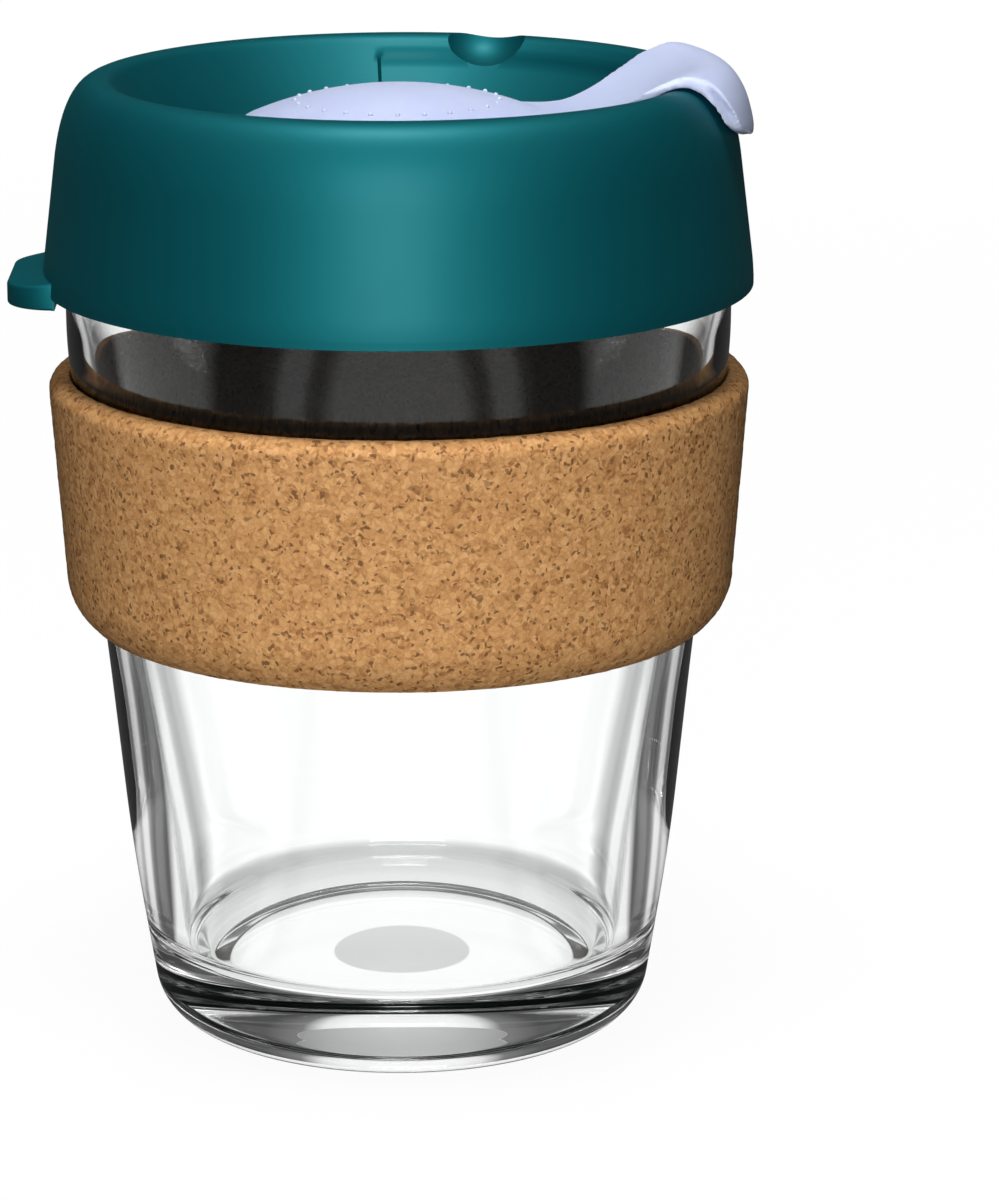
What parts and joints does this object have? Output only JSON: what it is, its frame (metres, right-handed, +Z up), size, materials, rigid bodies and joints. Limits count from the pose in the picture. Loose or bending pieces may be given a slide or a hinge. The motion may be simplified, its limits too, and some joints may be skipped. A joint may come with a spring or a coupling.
{
  "type": "glass travel cup",
  "caption": "Straight-tapered glass cup with a cork grip band, a press-on lid with a lift tab, and a soft turning plug whose arm closes the drinking hole.",
  "frame": {"origin": "centre of the ring the cup stands on, at table level", "axes": "+Z up along the cup's axis, +X towards the plug's arm and the drinking hole, -X towards the lid's lift tab"},
  "size_m": [0.0927, 0.0882, 0.1226],
  "materials": {
    "glass": "clear polished tempered glass",
    "cork": "fine-grained agglomerated cork, matt",
    "lid_plastic": "smooth satin moulded polypropylene, deep teal",
    "plug_plastic": "soft satin moulded plug, pale lavender, slightly translucent"
  },
  "bodies": {
    "cup": {"glass_cup": "glass"},
    "band": {"cork_band": "cork"},
    "lid": {"lid": "lid_plastic"},
    "plug": {"plug_disc": "plug_plastic"},
    "arm": {"plug_arm": "plug_plastic", "plug_stopper": "plug_plastic"}
  },
  "joints": [
    {"name": "lid_lift", "type": "slide", "parent": "cup", "child": "lid", "axis": [0, 0, 1], "range_m": [0, 0.04]},
    {"name": "band_slide", "type": "slide", "parent": "cup", "child": "band", "axis": [0, 0, -1], "range_m": [0, 0.045]},
    {"name": "plug_turn", "type": "hinge", "parent": "lid", "child": "plug", "pos_m": [0, 0, 0.112], "axis": [0, 0, 1], "range_deg": [0, 70.75]},
    {"name": "arm_flex", "type": "hinge", "parent": "plug", "child": "arm", "pos_m": [0.0205, 0, 0.1156], "axis": [0, -1, 0], "range_deg": [0, 30], "stiffness_Nm_per_rad": 0.03}
  ]
}
